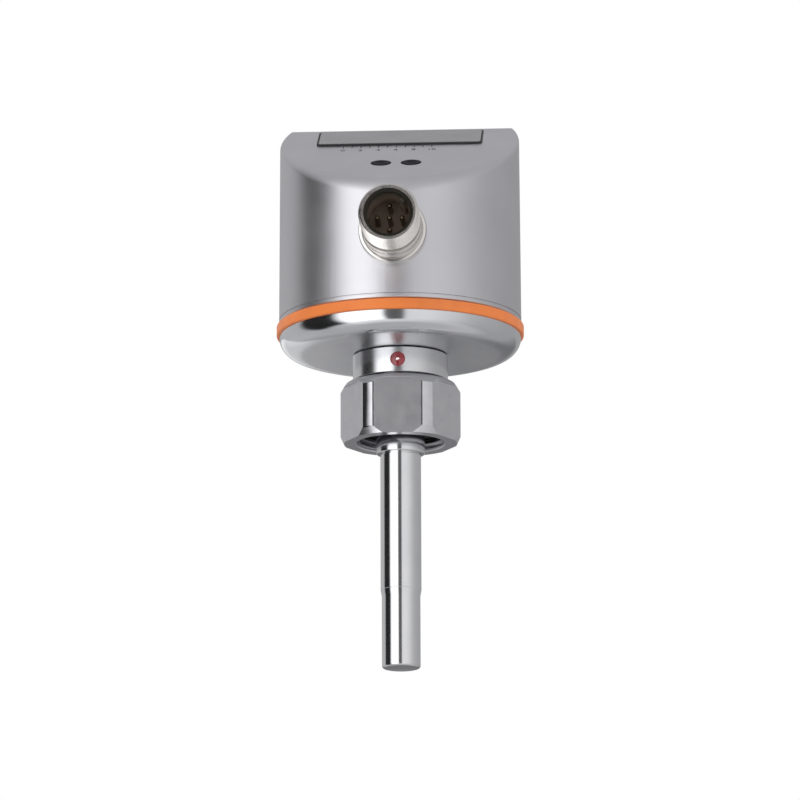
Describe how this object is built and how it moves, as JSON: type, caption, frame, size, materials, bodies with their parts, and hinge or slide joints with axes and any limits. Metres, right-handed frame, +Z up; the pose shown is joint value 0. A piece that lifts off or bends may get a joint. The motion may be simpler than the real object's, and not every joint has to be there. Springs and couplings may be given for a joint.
{
  "type": "flow switch",
  "caption": "Round steel flow switch with a sloping display, two buttons, a side plug connector, a union nut and a slim probe.",
  "frame": {"origin": "on the probe's axis, in the plane of the union nut's mouth, where the pipe fitting enters", "axes": "+Z up the axis from the probe to the head, -Y out along the plug connector, on the low side of the display panel"},
  "size_m": [0.05, 0.0653, 0.1136],
  "materials": {
    "head_steel": "satin stainless steel",
    "polished_steel": "polished stainless steel",
    "nut_steel": "machined stainless steel",
    "nickel": "satin nickel plating",
    "orange_seal": "smooth moulded rubber",
    "black_rubber": "moulded rubber",
    "red_mark": "glossy",
    "window_clear": "smoky glossy window",
    "black_plastic": "moulded, fine matte",
    "insert_plastic": "dark brown moulding",
    "board_green": "solder mask",
    "component_dark": "moulded component",
    "can_aluminium": "drawn cans",
    "contact_gold": "gold plating",
    "diode_cream": "clear resin",
    "ivory_plastic": "moulded",
    "ceramic_white": "fired ceramic",
    "heater_film": "printed film",
    "wire_red": "wire insulation"
  },
  "bodies": {
    "head": {"head_shell": "head_steel", "display_window": "window_clear", "window_gasket": "black_rubber", "light_mask": "black_plastic", "button_seals": "black_rubber", "tactile_switches": "component_dark", "display_board": "board_green", "led_bar": "diode_cream", "processor_chip": "component_dark", "ribbon_cable": "ivory_plastic", "ribbon_sockets": "ivory_plastic", "main_board": "board_green", "capacitors": "can_aluminium", "voltage_regulator": "component_dark", "board_carrier": "black_plastic", "connector_shell": "nickel", "connector_insert": "insert_plastic", "contact_pins": "contact_gold", "connector_gasket": "black_rubber", "connector_lock_nut": "nickel", "seal_ring": "orange_seal", "base_cap": "polished_steel", "collar_gasket": "black_rubber", "collar": "polished_steel", "orientation_mark": "red_mark", "stem": "polished_steel", "stem_washer": "nut_steel", "stem_lock_nut": "nut_steel", "cone_seal": "black_rubber", "probe_tube": "polished_steel", "probe_tip": "polished_steel", "sensor_substrate": "ceramic_white", "heater_element": "heater_film", "temperature_sensors": "ceramic_white", "sensor_leads": "wire_red"},
    "nut": {"union_nut": "nut_steel"},
    "left_key": {"left_button": "black_plastic"},
    "right_key": {"right_button": "black_plastic"}
  },
  "joints": [
    {"name": "nut_spin", "type": "hinge", "parent": "head", "child": "nut", "pos_m": [0, 0, 0], "axis": [0, 0, 1], "continuous": true},
    {"name": "left_press", "type": "slide", "parent": "head", "child": "left_key", "axis": [0, 0.5075, -0.8616], "range_m": [0, 0.0005], "stiffness_N_per_m": 400},
    {"name": "right_press", "type": "slide", "parent": "head", "child": "right_key", "axis": [0, 0.5075, -0.8616], "range_m": [0, 0.0005], "stiffness_N_per_m": 400}
  ]
}
